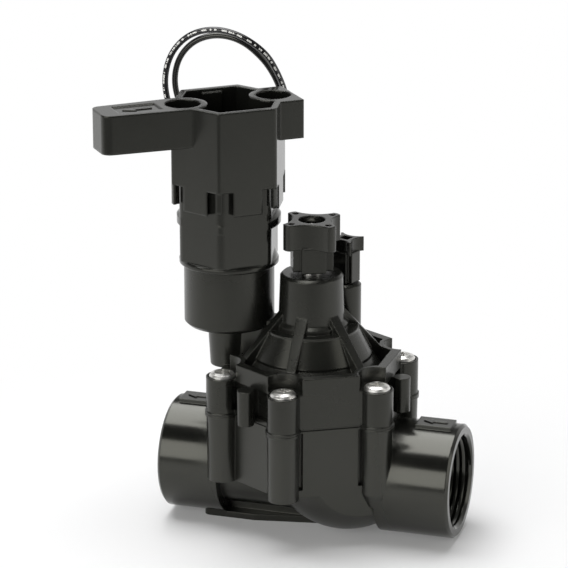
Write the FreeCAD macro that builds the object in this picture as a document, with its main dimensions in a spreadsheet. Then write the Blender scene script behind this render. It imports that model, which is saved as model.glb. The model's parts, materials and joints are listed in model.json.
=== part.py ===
"""Inline one-inch irrigation zone valve with flow control, bleed screw and latching-sleeve solenoid.

Millimetres. +Z is up and +X points out of the inlet port. The origin is on the ground, under the
axis of the flow-control tower. Every part is turned or cut about one of three upright axes: the
tower's at x = 0, the bleed screw's beside it, and the solenoid's over the outlet.
"""

import FreeCAD
import Part
import math
import os
import re
import Sketcher

DIMS = {
    # Ports and pressure chamber
    "thread_radius": 16.7,  # wall of the threaded port
    "port_wall": 4.55,
    "port_lift": 0.75,  # port's underside above the ground
    "port_depth": 20.0,  # threaded length of each port
    "port_round": 1.0,  # bevel round the port's outer rim
    "mouth_bevel": 1.1,  # bevel at the start of the thread
    "outlet_web": 6.85,  # wall between outlet thread and chamber
    "inlet_web": 10.85,
    "outlet_floor": 3.2,  # hub behind the outlet thread
    "inlet_floor": 8.0,
    "inlet_throat_radius": 14.2,
    "passage_radius": 12.7,  # outlet passage and riser
    "riser_wall": 3.0,
    "seat_lip": 0.3,  # seat's rim above the outlet passage
    "chamber_radius": 27.0,
    "chamber_wall": 4.5,  # at the middle of each flat
    "flat_drop": 0.5,  # flats end this far below the pipe axis
    "parting_rise": 25.3,  # parting plane above the pipe axis
    "bowl_radius": 30.0,
    "bowl_offset": 14.0,  # bowl's centre towards the inlet
    "bowl_wall": 3.2,
    "passage_cover": 4.3,  # wall round the outlet passage
    "pad_left": 40.0,
    "pad_right": 5.0,
    "pad_lip": 2.0,  # pad beyond its strut
    "pad_width": 16.4,
    "pad_shoulder": 20.0,  # pad tapers from here to its right end
    "pad_corner": 2.5,
    "pad_thickness": 2.4,
    "keel_width": 7.0,
    "strut_width": 4.0,
    "tag_length": 13.5,  # raised plate on each port
    "tag_width": 9.0,
    "tag_height": 0.9,
    "tag_inset": 3.2,
    # Flange screws
    "bolt_offset": 3.3,  # bolt circle outside the flats
    "side_angle": 30.0,  # screws beside the inlet
    "back_angle": 143.0,  # screws beside the solenoid
    "boss_radius": 6.0,
    "boss_taper": 0.3,
    "body_boss_depth": 26.0,
    "inlet_boss_extra": 5.5,
    "bead_width": 0.45,
    "bead_height": 0.9,
    "slot_width": 2.0,
    "slot_depth": 1.9,
    "screw_head_radius": 4.85,
    "screw_head_height": 2.5,
    "screw_radius": 2.1,
    "screw_reach": 12.0,  # length of screw in the body
    "screw_gap": 0.2,
    "screw_drive_width": 1.2,
    "screw_drive_length": 5.2,
    "screw_drive_depth": 1.3,
    # Bonnet
    "skirt_height": 19.9,
    "skirt_wall": 3.4,
    "seam_height": 0.8,  # groove round the flats at the parting
    "seam_depth": 0.6,
    "parting_step": 0.4,  # body's flats inside the bonnet's
    "screw_sink": 6.7,  # screw seat below the rim
    "scoop_radius": 6.9,
    "scoop_wall": 1.6,
    "head_cup_gap": 0.35,  # raised ring round each screw head
    "head_cup_height": 0.8,
    "post_radius": 3.1,
    "post_angle": 116.5,
    "post_web": 2.4,
    "recess_depth": 2.2,  # hollow behind each post
    "recess_rise": 2.2,
    "pocket_floor": 8.0,  # floor between the ribs, above the parting
    "root_rise": 12.0,  # towers start here inside the dome
    "dome_drop": 1.5,  # dome's centre below the parting
    "dome_wall": 3.6,
    "dome_inset": 0.2,  # dome's inner radius inside the chamber's
    "rib_root_width": 4.4,
    "rib_tip_width": 3.4,
    "rib_rise": 16.0,
    "apron_radius": 22.5,  # cone from the ledge down to the rim
    "ledge_radius": 17.5,
    "ledge_height": 0.9,
    "ledge_rise": 10.0,
    "tower_step": 1.3,
    "tower_step_height": 1.6,
    "tower_base_radius": 12.2,
    "tower_top_radius": 11.6,
    "tower_height": 30.3,
    "tower_bevel": 0.9,
    "tower_wall": 6.5,
    "hub_radius": 12.0,
    "hub_rise": 3.8,
    # Diaphragm
    "rim_width": 3.4,
    "rim_depth": 1.5,
    "rim_gap": 0.1,
    "washer_radius": 16.0,
    "washer_thickness": 1.5,
    "web_thickness": 1.8,
    "support_radius": 17.0,
    "support_thickness": 2.5,
    "support_hub_radius": 6.6,
    "support_hub_height": 6.0,
    "retainer_radius": 4.0,
    "retainer_head_radius": 8.5,
    "retainer_head_height": 1.8,
    "diaphragm_lift": 3.0,
    "spring_radius": 9.0,
    "spring_wire": 0.55,
    "spring_turns": 6.0,
    # Flow control
    "stem_radius": 3.85,
    "stem_thread_radius": 3.2,
    "stem_collar_height": 1.6,
    "stem_groove_depth": 1.15,
    "stem_ring_pitch": 2.8,
    "thrust_washer_height": 0.7,
    "drive_side": 4.4,
    "drive_cover": 1.1,  # knob's web over the stem's square
    "plunger_flat": 6.5,
    "plunger_hex_height": 14.0,
    "plunger_rod_radius": 5.0,
    "plunger_rod_length": 14.6,
    "plunger_end": 5.0,
    "plunger_gap": 0.5,
    "plunger_travel": 5.0,
    "knob_gap": 1.5,
    "knob_angle": 10.3,
    "knob_stem_angle": 14.0,  # stem's ribs against the grip's sides
    "knob_stem_height": 9.0,
    "knob_stem_span": 14.7,
    "knob_arm_width": 8.9,
    "knob_side": 19.4,
    "knob_height": 9.6,
    "knob_scoop_radius": 11.0,
    "knob_scoop_depth": 2.6,
    "knob_corner": 3.2,
    "knob_recess_radius": 5.0,
    "knob_recess_depth": 3.6,
    "knob_screw_radius": 1.3,
    "knob_screw_head_radius": 2.7,
    "knob_screw_head_height": 1.7,
    "knob_screw_length": 7.0,
    "knob_dimple_radius": 1.2,
    "knob_dimple_depth": 1.5,
    "knob_dimple_place": 9.6,
    # Bleed screw
    "bleed_angle": 66.5,
    "bleed_gap": 1.6,  # between tower and bleed boss
    "bleed_knob_gap": 0.5,
    "bleed_boss_radius": 5.8,
    "bleed_boss_rise": 22.0,
    "bleed_boss_bevel": 0.9,
    "bleed_thread_radius": 2.9,
    "bleed_groove_depth": 0.8,
    "bleed_groove_sink": 3.8,
    "bleed_floor": 4.0,
    "bleed_port_radius": 1.0,
    "bleed_stem_height": 11.2,
    "bleed_stem_span": 8.8,
    "bleed_arm_width": 5.6,
    "bleed_knob_side": 10.4,
    "bleed_knob_angle": 74.0,
    "bleed_knob_height": 5.3,
    "bleed_scoop_radius": 6.5,
    "bleed_scoop_depth": 1.9,
    "bleed_corner": 1.5,
    "bleed_recess_side": 4.0,
    "bleed_recess_depth": 2.0,
    # Solenoid boss on the bonnet
    "tower_gap": 0.5,  # between tower and solenoid
    "boss_wall": 5.45,
    "boss_bottom_rise": 8.3,
    "boss_height": 23.3,
    "boss_round": 1.2,
    "neck_radius": 8.3,
    "neck_taper": 1.1,
    "neck_web": 10.0,
    "pilot_floor": 9.0,
    "nozzle_radius": 2.2,
    "nozzle_height": 2.3,
    "orifice_radius": 0.8,
    "pilot_radius": 1.1,
    "exhaust_inset": 2.4,  # exhaust passage outside the chamber
    "supply_inset": 2.4,  # supply passage inside the nose's bore
    "link_sink": 1.2,  # roof of the link below the pilot room
    # Solenoid
    "nose_radius": 11.2,
    "nose_bottom": 2.8,
    "nose_groove_depth": 1.5,
    "nose_groove_sink": 4.4,
    "flange_radius": 18.4,
    "flange_height": 2.1,
    "shoulder_height": 3.6,
    "hex_flat": 17.0,
    "hex_corner": 3.2,
    "hex_height": 31.1,
    "ring_radius": 19.2,
    "ring_rise": 12.4,
    "ring_height": 5.3,
    "ring_bevel": 1.2,
    "coil_wall": 2.2,
    "coil_floor": 1.1,
    "yoke_wall": 1.2,
    "yoke_height": 26.6,
    "bobbin_wall": 1.0,
    "bobbin_flange": 1.2,
    "guide_wall": 0.4,
    "core_length": 12.7,
    "armature_radius": 4.7,
    "armature_lift": 1.5,
    "armature_seal_radius": 3.2,
    "armature_seal_height": 2.2,
    "armature_seal_proud": 0.8,
    "armature_spring_radius": 2.0,
    "armature_spring_wire": 0.3,
    "armature_spring_turns": 7.0,
    "armature_spring_sink": 8.0,
    "cap_height": 2.8,
    # Handle sleeve
    "sleeve_gap": 2.7,  # above the solenoid's ring
    "sleeve_height": 39.0,
    "sleeve_wall": 2.25,
    "sleeve_angle": 39.5,  # lever's stub direction
    "sleeve_corner": 1.2,
    "sleeve_ledge": 1.6,
    "notch_height": 9.2,
    "notch_width": 9.6,
    "finger_width": 2.2,
    "finger_wall": 1.1,
    "finger_length": 7.5,
    "rib_pad_width": 7.5,
    "rib_pad_depth": 1.2,
    "rib_pad_sink": 1.2,
    "lever_height": 14.4,
    "lever_reach": 50.3,
    "lever_root_width": 18.4,
    "lever_tip_width": 15.2,
    "lever_tip_radius": 3.4,
    "stub_reach": 25.2,
    "stub_width": 22.0,
    "eye_place": 17.6,
    "eye_radius": 6.6,
    "eye_wall": 2.3,
    "eye_depth": 12.0,
    "panel_start": 27.0,
    "panel_end": 43.3,
    "panel_width": 10.0,
    "panel_depth": 0.5,
    # Lead wires
    "grommet_radius": 3.6,
    "grommet_neck_radius": 2.4,
    "grommet_neck_length": 3.2,
    "grommet_reach": 25.0,
    "grommet_rise": 7.4,
    "lead_radius": 1.15,
    "lead_coil_radius": 13.8,
    "lead_coil_width": 4.8,
    "lead_coil_height": 2.4,
    # Fits
    "running_gap": 0.08,
    "ring_gap": 0.03,  # O-ring to its groove and bore
    "face_gap": 0.05,
    "loose_gap": 0.15,
}

# Levels and places that follow from the driving dimensions
PORT_RADIUS = "(thread_radius + port_wall)"
AXIS = f"({PORT_RADIUS} + port_lift)"
FLAT = "(chamber_radius + chamber_wall)"
BODY_FLAT = f"({FLAT} - parting_step)"
OUTLET_END = "(chamber_radius + outlet_web + port_depth)"
INLET_END = "(chamber_radius + inlet_web + port_depth)"
FLAT_BOTTOM = f"({AXIS} - flat_drop)"
PARTING = f"({AXIS} + parting_rise)"
BOLT_CIRCLE = f"({FLAT} + bolt_offset)"
RIM = f"({PARTING} + skirt_height)"
SCREW_SEAT = f"({RIM} - screw_sink)"
DOME_CENTRE = f"({PARTING} - dome_drop)"
DOME_INNER = "(chamber_radius - dome_inset)"
DOME_OUTER = f"({DOME_INNER} + dome_wall)"
TOWER_TOP = f"({RIM} + tower_height)"
TOWER_WALL = f"({TOWER_TOP} - tower_wall)"
HUB_BOTTOM = f"({RIM} + hub_rise)"
RISER_OUTER = "(passage_radius + riser_wall)"
SEAT = f"({AXIS} + {RISER_OUTER} + seat_lip)"
WASHER = f"({SEAT} + face_gap)"
WEB = f"({WASHER} + washer_thickness)"
SUPPORT = f"({WEB} + web_thickness)"
SUPPORT_TOP = f"({SUPPORT} + support_thickness)"
HUB_TOP = f"({SUPPORT_TOP} + support_hub_height)"
PLUNGER = f"({HUB_TOP} + diaphragm_lift + plunger_gap)"
PLUNGER_HEX = f"({PLUNGER} + plunger_rod_length)"
KNOB = f"({TOWER_TOP} + knob_gap)"
KNOB_HEAD = f"({KNOB} + knob_stem_height)"
KNOB_TOP = f"({KNOB_HEAD} + knob_height)"
KNOB_FLOOR = f"({KNOB_TOP} - knob_recess_depth)"
ROOT = f"({PARTING} + root_rise)"
POCKET = f"({PARTING} + pocket_floor)"
EXHAUST_X = "(0 - chamber_radius - exhaust_inset)"
BLEED_PLACE = "(tower_base_radius + bleed_gap + bleed_boss_radius)"
BLEED_X = f"({BLEED_PLACE} * cos(bleed_angle))"
BLEED_Y = f"({BLEED_PLACE} * sin(bleed_angle))"
BLEED_TOP = f"({RIM} + bleed_boss_rise)"
BLEED_SEAT = f"({RIM} + bleed_floor)"
BLEED_KNOB = f"({BLEED_TOP} + bleed_knob_gap + bleed_stem_height)"
SOLENOID_X = "(0 - tower_base_radius - ring_radius - tower_gap)"
BOSS_RADIUS = "(nose_radius + running_gap + boss_wall)"
BOSS_BOTTOM = f"({RIM} + boss_bottom_rise)"
BOSS_TOP = f"({BOSS_BOTTOM} + boss_height)"
PILOT = f"({BOSS_BOTTOM} + pilot_floor)"
NOZZLE = f"({PILOT} + nozzle_height)"
FLANGE = f"({BOSS_TOP} + face_gap * 2)"
HEX = f"({FLANGE} + flange_height)"
HOUSING_TOP = f"({HEX} + hex_height)"
RING = f"({HEX} + ring_rise)"
YOKE = f"({HEX} + coil_floor + face_gap)"
YOKE_TOP = f"({YOKE} + yoke_height)"
COIL_RADIUS = "(hex_flat - coil_wall)"
GUIDE_OUTER = "(armature_radius + running_gap + guide_wall)"
SEAL = f"({NOZZLE} + face_gap)"
ARMATURE = f"({SEAL} + armature_seal_proud)"
CORE = f"({YOKE_TOP} - core_length)"
SLEEVE = f"({RING} + ring_height + sleeve_gap)"
SLEEVE_TOP = f"({SLEEVE} + sleeve_height)"
SLEEVE_INNER = "(hex_flat + loose_gap)"
SLEEVE_FLAT = f"({SLEEVE_INNER} + sleeve_wall)"
LEVER = f"({SLEEVE_TOP} - lever_height)"
LEAD_CORNER = "(sleeve_angle + 60)"
ARM_ROOT = "(hex_flat - hex_corner)"

# Free route of each lead wire, from the grommet up over the valve and down to the ground behind it
LEAD_A = [
    (-34.56, 24.96, 126.1),
    (-35.9, 32.8, 126.1),
    (-34.6, 40.2, 129.0),
    (-30.8, 45.0, 134.4),
    (-25.8, 46.0, 141.2),
    (-22.9, 43.2, 148.2),
    (-22.7, 38.8, 155.6),
    (-24.8, 35.4, 163.6),
    (-28.4, 33.2, 170.6),
    (-37.2, 32.0, 176.6),
    (-47.4, 31.4, 178.8),
    (-57.4, 31.0, 176.2),
    (-64.8, 31.0, 168.8),
    (-67.9, 31.2, 158.4),
    (-66.6, 31.8, 147.8),
    (-61.8, 33.8, 138.0),
    (-56.0, 36.8, 128.2),
    (-50.4, 40.2, 116.6),
    (-46.0, 43.4, 102.0),
    (-42.8, 46.6, 82.4),
    (-41.4, 49.2, 62.0),
    (-42.0, 51.4, 44.0),
    (-44.4, 53.8, 29.6),
    (-48.2, 57.2, 17.4),
    (-52.2, 62.2, 8.2),
    (-54.4, 69.4, 2.8),
    (-54.2, 78.0, 1.2),
]
LEAD_B = [
    (-37.53, 24.49, 126.1),
    (-38.9, 32.3, 126.1),
    (-38.2, 40.0, 128.8),
    (-35.0, 45.8, 133.6),
    (-30.2, 48.6, 139.8),
    (-25.9, 47.4, 146.6),
    (-25.4, 43.4, 153.4),
    (-27.1, 39.6, 160.8),
    (-30.6, 36.8, 167.4),
    (-37.8, 35.0, 173.9),
    (-46.8, 34.2, 176.0),
    (-55.8, 33.8, 173.6),
    (-62.4, 33.8, 167.0),
    (-65.0, 34.0, 158.0),
    (-63.6, 34.8, 148.6),
    (-59.2, 37.0, 139.6),
    (-53.4, 40.6, 130.0),
    (-47.4, 45.0, 118.0),
    (-42.6, 48.6, 101.6),
    (-39.6, 51.4, 82.0),
    (-38.4, 53.8, 62.2),
    (-39.2, 55.8, 45.2),
    (-42.0, 58.0, 31.4),
    (-46.4, 61.0, 19.8),
    (-50.8, 65.4, 10.8),
    (-54.1, 71.8, 5.4),
    (-54.5, 80.0, 3.65),
]
COIL_CENTRE = (-36.8, 78.0)

ALONG_X = FreeCAD.Rotation(FreeCAD.Vector(0, 1, 0), 90)
ALONG_MINUS_X = FreeCAD.Rotation(FreeCAD.Vector(0, 1, 0), -90)
UP = FreeCAD.Vector(0, 0, 1)
ARCS_PER_TURN = 6

doc = FreeCAD.newDocument("zone_valve")
sheet = doc.addObject("Spreadsheet::Sheet", "Dims")
for row, (alias, number) in enumerate(DIMS.items(), start=1):
    sheet.set(f"A{row}", alias)
    sheet.set(f"B{row}", str(number))
    sheet.setAlias(f"B{row}", alias)
doc.recompute()


def bind(text):
    """The text as a document expression, with each dimension read from the sheet."""
    return re.sub(r"[a-z]\w*", lambda m: f"Dims.{m[0]}" if m[0] in DIMS else m[0], text)


def value(text):
    """The number that an expression stands for now."""
    return float(sheet.evalExpression(bind(text)))


def place(item, x="0", y="0", z="0", turn="0"):
    """Puts an object at x, y, z, turned about the upright axis."""
    for axis, text in zip("xyz", (x, y, z)):
        item.setExpression(f"Placement.Base.{axis}", bind(text))
    if turn != "0":
        item.Placement.Rotation = FreeCAD.Rotation(UP, value(turn))
        item.setExpression("Placement.Rotation.Angle", bind(turn))
    return item


def shape(kind, sizes, **at):
    """A primitive of that kind, with its sizes bound to the sheet."""
    item = doc.addObject(f"Part::{kind}", kind)
    for name, text in sizes.items():
        item.setExpression(name, bind(text))
    return place(item, **at)


def cylinder(radius, height, **at):
    return shape("Cylinder", {"Radius": radius, "Height": height}, **at)


def cone(bottom, top, height, **at):
    return shape("Cone", {"Radius1": bottom, "Radius2": top, "Height": height}, **at)


def sphere(radius, **at):
    return shape("Sphere", {"Radius": radius}, **at)


def hexagon(flat, height, **at):
    """A hexagonal prism whose flats are that far from its axis, with a corner along its turn."""
    item = shape("Prism", {"Circumradius": f"({flat}) / cos(30)", "Height": height}, **at)
    item.Polygon = 6
    return item


def bar(start, end, width, height, x="0", y="0", z="0", turn="0"):
    """A box from start to end along its own turned direction, centred on its width."""
    item = shape("Box", {"Length": f"{end} - ({start})", "Width": width, "Height": height})
    along, across = f"({start})", f"({width} / 2)"
    return place(
        item,
        x=f"{x} + {along} * cos({turn}) + {across} * sin({turn})",
        y=f"{y} + {along} * sin({turn}) - {across} * cos({turn})",
        z=z,
        turn=turn,
    )


def tapered(start, end, root, tip, height, x="0", y="0", z="0", turn="0"):
    """An upright bar that runs like bar() and changes its width from root to tip."""
    sizes = {
        "Xmin": f"0 - {root} / 2",
        "Xmax": f"{root} / 2",
        "X2min": f"0 - {tip} / 2",
        "X2max": f"{tip} / 2",
        "Ymin": start,
        "Ymax": end,
        "Zmin": "0",
        "Zmax": height,
        "Z2min": "0",
        "Z2max": height,
    }
    return shape("Wedge", sizes, x=x, y=y, z=z, turn=f"{turn} - 90")


def lying(item, rotation, **at):
    """Lays an object down along another axis."""
    item.Placement.Rotation = rotation
    return place(item, **at)


def fuse(*items):
    whole = doc.addObject("Part::MultiFuse", "Fuse")
    whole.Shapes = list(items)
    return whole


def cut(base, *tools):
    rest = doc.addObject("Part::Cut", "Cut")
    rest.Base = base
    rest.Tool = tools[0] if len(tools) == 1 else fuse(*tools)
    return rest


def common(first, second):
    shared = doc.addObject("Part::Common", "Common")
    shared.Base = first
    shared.Tool = second
    return shared


def rounded(base, radius, wanted):
    """Rounds the edges that the wanted test picks, by their midpoint and direction."""
    doc.recompute()
    item = doc.addObject("Part::Fillet", "Fillet")
    item.Base = base
    size = value(radius)
    item.Edges = [
        (number, size, size) for number, edge in enumerate(base.Shape.Edges, start=1) if wanted(edge)
    ]
    return item


def upright(edge):
    """True for a straight edge along Z."""
    ends = [v.Point for v in edge.Vertexes]
    return len(ends) == 2 and math.hypot(ends[0].x - ends[1].x, ends[0].y - ends[1].y) < 1e-6


def part(label, item):
    """Names the object that stands for one sub-part."""
    item.Label = label
    return item


def turned(points, **at):
    """A solid of revolution about an upright axis through a profile of (radius, height) points."""
    body = doc.addObject("PartDesign::Body", "Turned")
    plane = next(o for o in body.Origin.OriginFeatures if o.Role == "XZ_Plane")
    sketch = body.newObject("Sketcher::SketchObject", "Profile")
    sketch.AttachmentSupport = [(plane, "")]
    sketch.MapMode = "FlatFace"
    places = [(value(radius), value(height)) for radius, height in points]
    for here, there in zip(places, places[1:] + places[:1]):
        line = Part.LineSegment(FreeCAD.Vector(*here, 0), FreeCAD.Vector(*there, 0))
        sketch.addGeometry(line, False)
    count = len(points)
    for number in range(count):
        joint = Sketcher.Constraint("Coincident", number, 2, (number + 1) % count, 1)
        sketch.addConstraint(joint)
    for number, texts in enumerate(points):
        for kind, text, now in zip(("DistanceX", "DistanceY"), texts, places[number]):
            spot = sketch.addConstraint(Sketcher.Constraint(kind, -1, 1, number, 1, now))
            if text != "0":
                sketch.setExpression(f"Constraints[{spot}]", bind(text))
    lathe = body.newObject("PartDesign::Revolution", "Revolve")
    lathe.Profile = sketch
    lathe.ReferenceAxis = (sketch, ["V_Axis"])
    lathe.Angle = 360
    return place(body, **at)


def tube(inner, outer, bottom, height, **at):
    """A round sleeve or washer."""
    top = f"{bottom} + {height}"
    return turned([(inner, bottom), (outer, bottom), (outer, top), (inner, top)], **at)


def o_ring(groove, bore, height, **at):
    """A ring that sits in a groove and meets a bore with a small gap to each."""
    sizes = {"Radius1": f"({groove} + {bore}) / 2", "Radius2": f"({bore} - {groove}) / 2 - ring_gap"}
    return shape("Torus", sizes, z=height, **at)


def helix_line(radius, height, turns):
    """A helix as six arcs to the turn, each through three of its points."""
    arcs = round(turns * ARCS_PER_TURN)

    def point(step):
        angle = 2 * math.pi * step / ARCS_PER_TURN
        return FreeCAD.Vector(radius * math.cos(angle), radius * math.sin(angle), height * step / arcs)

    return Part.Wire([Part.Arc(point(n), point(n + 0.5), point(n + 1)).toShape() for n in range(arcs)])


def swept(line, radius):
    """A round solid along a line, with its volume checked against its length."""
    first = line.Edges[0]
    start = first.valueAt(first.FirstParameter)
    section = Part.makeCircle(radius, start, first.tangentAt(first.FirstParameter))
    item = doc.addObject("Part::Feature", "Swept")
    item.Shape = line.makePipeShell([Part.Wire(section)], True, False)
    expected = math.pi * radius**2 * line.Length
    if abs(item.Shape.Volume - expected) > 0.01 * expected:
        raise ValueError(f"swept volume is {item.Shape.Volume}, not {expected}")
    return item


def helical_spring(radius, wire, bottom, top, turns, **at):
    """A round-wire compression spring between two faces."""
    free = f"({wire} + face_gap)"
    line = helix_line(value(radius), value(f"{top} - {bottom} - 2 * {free}"), value(turns))
    return place(swept(line, value(wire)), z=f"{bottom} + {free}", **at)


def bolt_angles():
    """The six flange screws: two on the cross axis, two by the inlet and two by the solenoid."""
    return ["90", "-90", "side_angle", "(0 - side_angle)", "back_angle", "(0 - back_angle)"]


def on_circle(radius, angle):
    return {"x": f"{radius} * cos({angle})", "y": f"{radius} * sin({angle})"}


def cross_knob(side, height, bottom, scoop, depth, corner):
    """A square grip with four hollow sides, its corners rounded."""
    half = f"({side} / 2)"
    block = bar(f"0 - {half}", half, side, height, z=bottom)
    block = rounded(block, corner, upright)
    reach = f"({half} + {scoop} - {depth})"
    scoops = [
        cylinder(scoop, f"{height} + 2", z=f"{bottom} - 1", **on_circle(reach, str(angle)))
        for angle in (0, 90, 180, 270)
    ]
    return cut(block, *scoops)


def port(end, floor, rotation):
    """The round hub of one port, from behind its thread out to its bevelled rim."""
    start = f"{end} - port_depth - {floor}"
    profile = [
        ("0", start),
        (PORT_RADIUS, start),
        (PORT_RADIUS, f"{end} - port_round"),
        (f"{PORT_RADIUS} - port_round", end),
        ("0", end),
    ]
    return lying(turned(profile), rotation, z=AXIS)


def port_bore(end, rotation):
    """The threaded socket of one port, with its bevelled mouth."""
    profile = [
        ("0", f"{end} - port_depth"),
        ("thread_radius", f"{end} - port_depth"),
        ("thread_radius", f"{end} - mouth_bevel"),
        ("thread_radius + mouth_bevel", end),
        ("thread_radius + mouth_bevel", f"{end} + 1"),
        ("0", f"{end} + 1"),
    ]
    return lying(turned(profile), rotation, z=AXIS)


def flange_bosses(radius, bottom, top):
    return [
        cylinder(radius, f"{top} - {bottom}", z=bottom, **on_circle(BOLT_CIRCLE, angle))
        for angle in bolt_angles()
    ]


def side_slots(flat, bottom, height):
    """Narrow upright slots in the flats, against the sides of the screw bosses."""
    slots = []
    for angle, sides in (
        ("90", (1, -1)),
        ("-90", (1, -1)),
        ("side_angle", (1,)),
        ("(0 - side_angle)", (-1,)),
        ("150", (-1,)),
        ("-150", (1,)),
    ):
        for side in sides:
            flat_turn = f"({angle} + {30 * side})"
            along = f"({BOLT_CIRCLE} * sin(30) - boss_radius)"
            corner = f"({-side} * {along})"
            slots.append(
                bar(
                    f"{flat} - slot_depth",
                    f"{flat} + 1",
                    "slot_width",
                    height,
                    x=f"0 - {corner} * sin({flat_turn})",
                    y=f"{corner} * cos({flat_turn})",
                    z=bottom,
                    turn=flat_turn,
                )
            )
    return slots


def valve_body():
    boss_bottom = f"({PARTING} - body_boss_depth)"
    boss_end = "(boss_radius - boss_taper)"
    hub_height = f"{PARTING} - {FLAT_BOTTOM}"
    hexagonal = hexagon(BODY_FLAT, hub_height, z=FLAT_BOTTOM, turn="30")
    bowl = common(
        sphere("bowl_radius", x="bowl_offset", z="bowl_radius"),
        hexagon(BODY_FLAT, "bowl_radius", turn="30"),
    )
    bosses = [
        cone(boss_end, "boss_radius", "body_boss_depth", z=boss_bottom, **on_circle(BOLT_CIRCLE, a))
        for a in bolt_angles()
    ]
    feet = [
        cone(
            "boss_radius * 0.5",
            boss_end,
            "inlet_boss_extra",
            z=f"{boss_bottom} - inlet_boss_extra",
            **on_circle(BOLT_CIRCLE, angle),
        )
        for angle in ("side_angle", "(0 - side_angle)")
    ]
    beads = flange_bosses("boss_radius + bead_width", f"({PARTING} - bead_height)", PARTING)
    cover = "(passage_radius + passage_cover)"
    passage = lying(cylinder(cover, f"{OUTLET_END} - port_depth"), ALONG_MINUS_X, z=AXIS)
    passage_end = sphere(cover, z=AXIS)
    pad = [
        bar("0 - pad_left", "0 - pad_shoulder", "(pad_width - pad_corner * 2)", "pad_thickness"),
        bar("pad_corner - pad_left", "0 - pad_shoulder", "pad_width", "pad_thickness"),
        tapered("0 - pad_shoulder", "pad_right", "pad_width", "keel_width", "pad_thickness"),
    ]
    for side in (1, -1):
        corner_y = f"{side} * (pad_width / 2 - pad_corner)"
        pad.append(cylinder("pad_corner", "pad_thickness", x="pad_corner - pad_left", y=corner_y))
    keel = bar("pad_lip - pad_left", "pad_right", "keel_width", AXIS)
    strut_end = "pad_lip - pad_left + strut_width"
    strut = bar("pad_lip - pad_left", strut_end, "(pad_width - pad_lip)", AXIS)
    tags = [
        bar(
            f"{start}",
            f"{start} + tag_length",
            "tag_width",
            f"{PORT_RADIUS} + tag_height",
            z=AXIS,
        )
        for start in (f"({INLET_END} - tag_inset - tag_length)", f"(tag_inset - {OUTLET_END})")
    ]
    outside = fuse(
        hexagonal,
        bowl,
        port(OUTLET_END, "outlet_floor", ALONG_MINUS_X),
        port(INLET_END, "inlet_floor", ALONG_X),
        passage,
        passage_end,
        *pad,
        keel,
        strut,
        *bosses,
        *feet,
        *beads,
        *tags,
    )
    chamber = cylinder("chamber_radius", f"{PARTING} - {AXIS} + 1", z=AXIS)
    bowl_room = common(
        sphere("bowl_radius - bowl_wall", x="bowl_offset", z="bowl_radius"),
        hexagon(f"{BODY_FLAT} - bowl_wall", f"{AXIS} + 4", turn="30"),
    )
    inlet_throat = lying(
        cylinder("inlet_throat_radius", f"{INLET_END} - bowl_offset"), ALONG_X, x="bowl_offset", z=AXIS
    )
    duct = lying(cylinder(RISER_OUTER, f"{OUTLET_END} - port_depth"), ALONG_MINUS_X, z=AXIS)
    riser = cylinder(RISER_OUTER, f"{SEAT} - {AXIS}", z=AXIS)
    inlet_room = cut(
        fuse(chamber, bowl_room, inlet_throat), fuse(duct, riser, sphere(RISER_OUTER, z=AXIS))
    )
    duct_bore = lying(cylinder("passage_radius", f"{OUTLET_END} - 1"), ALONG_MINUS_X, z=AXIS)
    riser_bore = cylinder("passage_radius", f"{SEAT} - {AXIS} + 1", z=AXIS)
    rim_groove = cylinder(f"chamber_radius + rim_width", "rim_depth + 1", z=f"{PARTING} - rim_depth")
    screw_holes = [
        cylinder(
            "screw_radius + screw_gap",
            "screw_reach + 2",
            z=f"{PARTING} - screw_reach - 1",
            **on_circle(BOLT_CIRCLE, angle),
        )
        for angle in bolt_angles()
    ]
    exhaust = cylinder(
        "pilot_radius", f"{PARTING} - {AXIS}", x=EXHAUST_X, z=AXIS
    )
    return part(
        "valve_body",
        cut(
            outside,
            inlet_room,
            duct_bore,
            riser_bore,
            sphere("passage_radius", z=AXIS),
            port_bore(OUTLET_END, ALONG_MINUS_X),
            port_bore(INLET_END, ALONG_X),
            rim_groove,
            exhaust,
            *screw_holes,
            *side_slots(BODY_FLAT, f"({FLAT_BOTTOM} + 3)", f"{PARTING} - {FLAT_BOTTOM} - 3.8"),
        ),
    )


def bonnet_rib(angle):
    """A tapering rib whose crest falls straight from the tower to a screw scoop."""
    end = f"({BOLT_CIRCLE} - scoop_radius - scoop_wall)"
    root = "(tower_base_radius - 1)"
    height = f"{RIM} + rib_rise - {POCKET}"
    rib = tapered(root, f"{end} + 1", "rib_root_width", "rib_tip_width", height, z=POCKET, turn=angle)
    crest = turned(
        [
            ("0", PARTING),
            (f"{end} + 2", PARTING),
            (f"{end} + 2", RIM),
            (end, RIM),
            ("tower_base_radius", f"{RIM} + rib_rise"),
            ("0", f"{RIM} + rib_rise"),
        ]
    )
    return common(rib, crest)


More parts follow.
